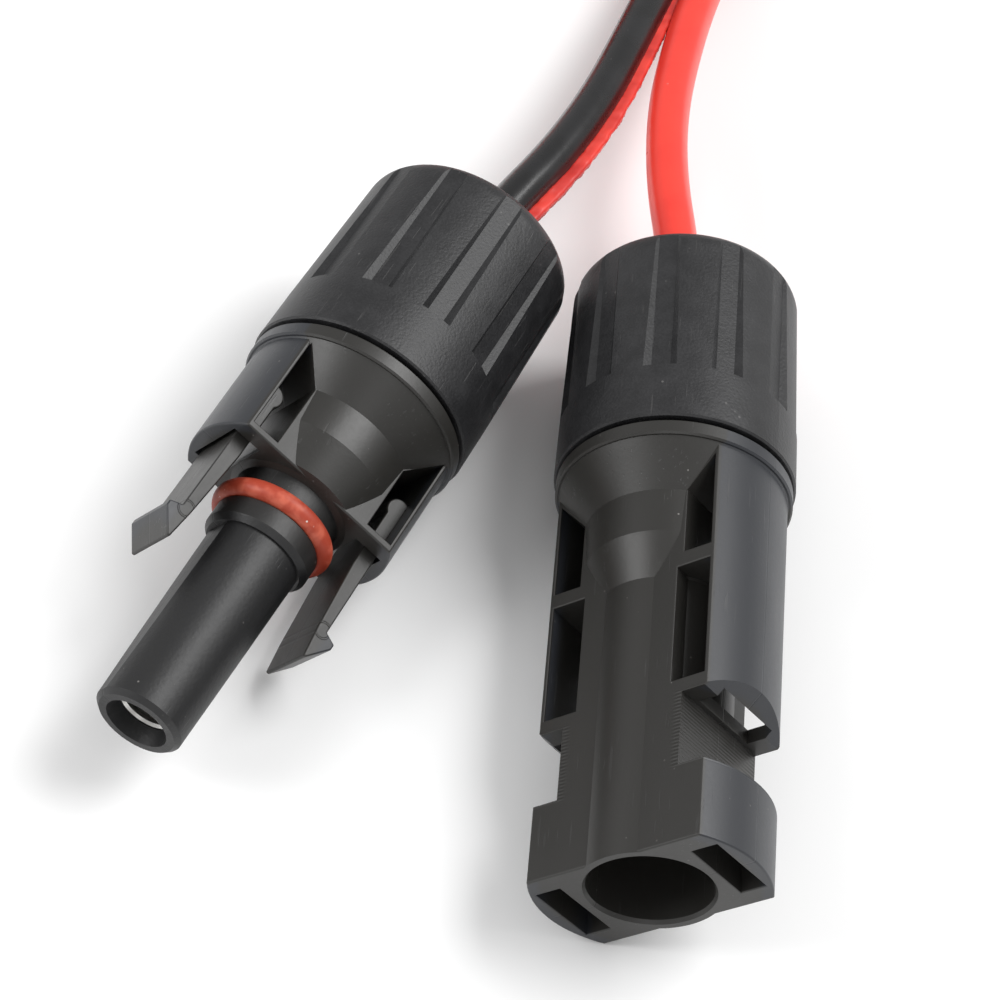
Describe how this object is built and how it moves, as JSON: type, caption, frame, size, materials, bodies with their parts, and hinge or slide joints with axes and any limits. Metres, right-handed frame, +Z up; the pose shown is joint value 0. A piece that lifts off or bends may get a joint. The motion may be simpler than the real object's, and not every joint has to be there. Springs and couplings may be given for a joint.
{
  "type": "solar cable connector",
  "caption": "Solar cable connector: plug with spring latch arms and red seal ring, its receptacle, fluted cap nuts, and a black and a red lead in a tied coil.",
  "frame": {"origin": "centre of the footprint of the two connectors, on the flat surface they lie on", "axes": "+Z up, +Y from the mating faces back towards the leads, +X across, towards the receptacle"},
  "size_m": [0.0643, 0.1525, 0.0197],
  "materials": {
    "housing_plastic": "moulded near-black engineering plastic, satin",
    "nut_plastic": "moulded near-black plastic with a fine spark-eroded grain",
    "seal_ring_rubber": "brick-red silicone rubber, matte",
    "cable_seal_rubber": "dark grey silicone rubber, matte",
    "collet_plastic": "moulded black plastic",
    "tinned_contact": "tin-plated copper, turned",
    "spring_band": "copper alloy spring strip",
    "spring_steel": "spring steel",
    "black_lead_sheath": "glossy flexible sheath, black",
    "red_lead_sheath": "glossy flexible sheath, bright red",
    "tie_plastic": "black nylon",
    "tinned_strand": "tinned copper strand"
  },
  "bodies": {
    "base": {"plug_housing": "housing_plastic", "plug_o_ring": "seal_ring_rubber", "socket_contact": "tinned_contact", "contact_lamella": "spring_band", "plug_retaining_clip": "spring_steel", "plug_cable_seal": "cable_seal_rubber", "receptacle_housing": "housing_plastic", "pin_contact": "tinned_contact", "receptacle_retaining_clip": "spring_steel", "receptacle_cable_seal": "cable_seal_rubber", "black_conductor": "tinned_strand", "red_conductor": "tinned_strand", "black_lead": "black_lead_sheath", "red_lead": "red_lead_sheath", "lead_coil": "black_lead_sheath", "cable_tie": "tie_plastic", "black_tail": "black_lead_sheath", "red_tail": "red_lead_sheath", "black_bare_end": "tinned_strand", "red_bare_end": "tinned_strand"},
    "plug_collet": {"plug_clamping_collet": "collet_plastic"},
    "plug_nut": {"plug_cap_nut": "nut_plastic"},
    "receptacle_collet": {"receptacle_clamping_collet": "collet_plastic"},
    "receptacle_nut": {"receptacle_cap_nut": "nut_plastic"},
    "left_arm": {"plug_left_latch_arm": "housing_plastic"},
    "right_arm": {"plug_right_latch_arm": "housing_plastic"}
  },
  "joints": [
    {"name": "plug_nut_travel", "type": "slide", "parent": "base", "child": "plug_collet", "axis": [0.382, 0.9222, 0.061], "range_m": [0, 0.00225]},
    {"name": "plug_nut_spin", "type": "hinge", "parent": "plug_collet", "child": "plug_nut", "pos_m": [-0.00583, 0.01847, 0.01007], "axis": [0.382, 0.9222, 0.061], "range_deg": [0, 540]},
    {"name": "receptacle_nut_travel", "type": "slide", "parent": "base", "child": "receptacle_collet", "axis": [0, 0.9998, 0.0209], "range_m": [0, 0.00225]},
    {"name": "receptacle_nut_spin", "type": "hinge", "parent": "receptacle_collet", "child": "receptacle_nut", "pos_m": [0.01598, 0.01567, 0.0097], "axis": [0, 0.9998, 0.0209], "range_deg": [0, 540]},
    {"name": "left_arm_flex", "type": "hinge", "parent": "base", "child": "left_arm", "pos_m": [-0.01746, 0.00556, 0.01243], "axis": [0.4417, -0.2402, 0.8644], "range_deg": [0, 5], "stiffness_Nm_per_rad": 1},
    {"name": "right_arm_flex", "type": "hinge", "parent": "base", "child": "right_arm", "pos_m": [-0.00658, 0.0015, 0.00574], "axis": [-0.4417, 0.2402, -0.8644], "range_deg": [0, 5], "stiffness_Nm_per_rad": 1}
  ],
  "couplings": [
    {"joint": "plug_nut_spin", "follows": "plug_nut_travel", "rad_per_m": 4188.8},
    {"joint": "receptacle_nut_spin", "follows": "receptacle_nut_travel", "rad_per_m": 4188.8}
  ]
}
